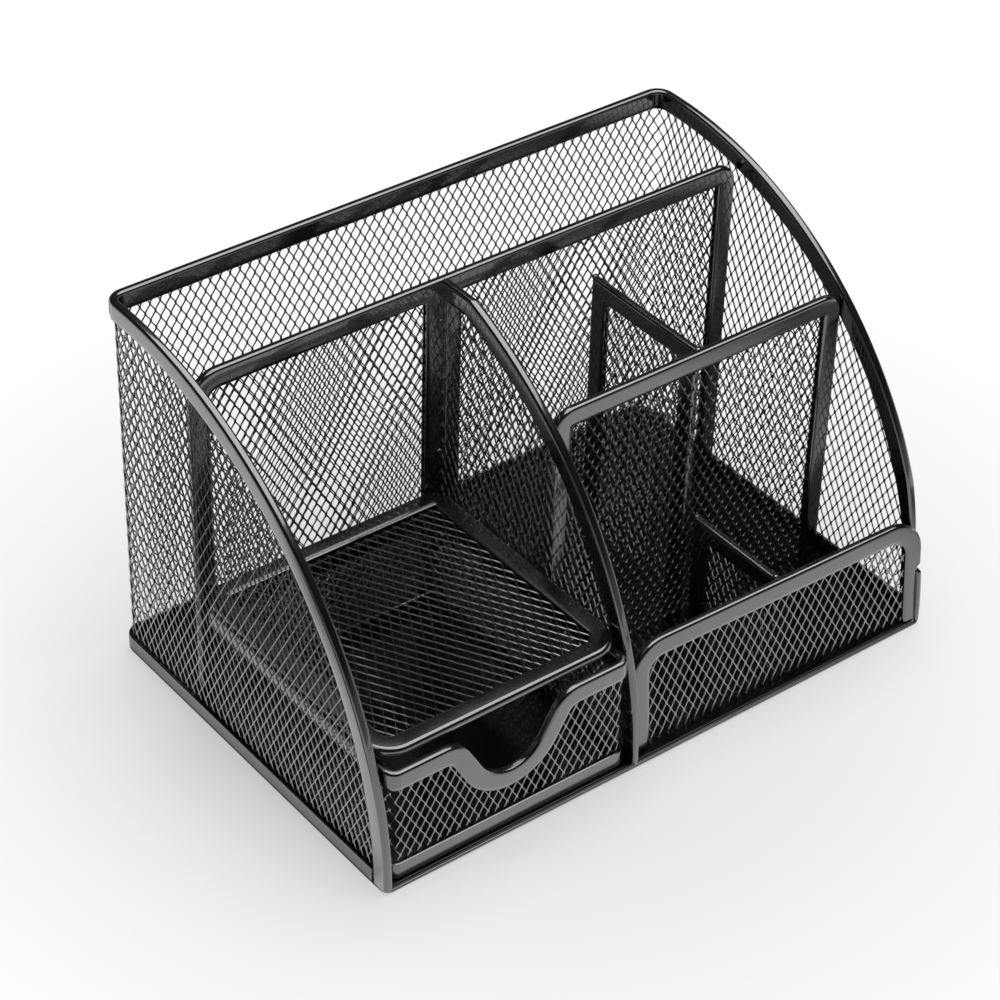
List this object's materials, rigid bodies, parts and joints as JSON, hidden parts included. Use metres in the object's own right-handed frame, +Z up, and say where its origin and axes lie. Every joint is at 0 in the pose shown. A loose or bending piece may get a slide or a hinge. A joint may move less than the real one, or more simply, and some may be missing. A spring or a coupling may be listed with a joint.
{
  "type": "pen stand with drawer",
  "caption": "Black metal mesh desk pen stand with a full-width rear bay, divided compartments, a note shelf and a pull-out drawer under it.",
  "frame": {"origin": "middle of the footprint, on the surface that the stand rests on", "axes": "+X along the width to the user's right, +Y from the front to the back, +Z up"},
  "size_m": [0.21, 0.14, 0.13],
  "materials": {
    "mesh_paint": "satin black enamel on expanded steel mesh",
    "rim_paint": "semi-gloss black enamel on folded steel strip",
    "pan_paint": "glossy black enamel on sheet steel"
  },
  "bodies": {
    "stand": {"back_wall_mesh": "mesh_paint", "back_wall_rim": "rim_paint", "base_flange_back": "pan_paint", "base_flange_corners": "pan_paint", "base_flange_left": "pan_paint", "base_flange_right": "pan_paint", "base_floor": "pan_paint", "corner_meshes": "mesh_paint", "corner_rims": "rim_paint", "front_cross_mesh": "mesh_paint", "front_cross_rim": "rim_paint", "front_panel_mesh": "mesh_paint", "front_panel_rim": "rim_paint", "left_wall_mesh": "mesh_paint", "left_wall_rim": "rim_paint", "middle_divider_mesh": "mesh_paint", "middle_divider_rim": "rim_paint", "partition_mesh": "mesh_paint", "partition_rim": "rim_paint", "rear_cross_mesh": "mesh_paint", "rear_cross_rim": "rim_paint", "rear_left_divider_mesh": "mesh_paint", "rear_left_divider_rim": "rim_paint", "rear_right_divider_mesh": "mesh_paint", "rear_right_divider_rim": "rim_paint", "right_wall_mesh": "mesh_paint", "right_wall_rim": "rim_paint", "shelf_mesh": "mesh_paint", "shelf_rim": "rim_paint"},
    "drawer": {"drawer_back_mesh": "mesh_paint", "drawer_back_rim": "rim_paint", "drawer_corner_meshes": "mesh_paint", "drawer_corner_rims": "rim_paint", "drawer_flange_back": "pan_paint", "drawer_flange_corners": "pan_paint", "drawer_flange_front": "pan_paint", "drawer_flange_left": "pan_paint", "drawer_flange_right": "pan_paint", "drawer_floor": "pan_paint", "drawer_front_mesh": "mesh_paint", "drawer_front_rim": "rim_paint", "drawer_left_mesh": "mesh_paint", "drawer_left_rim": "rim_paint", "drawer_right_mesh": "mesh_paint", "drawer_right_rim": "rim_paint"}
  },
  "joints": [
    {"name": "drawer_slide", "type": "slide", "parent": "stand", "child": "drawer", "axis": [0, -1, 0], "range_m": [0, 0.09]}
  ]
}
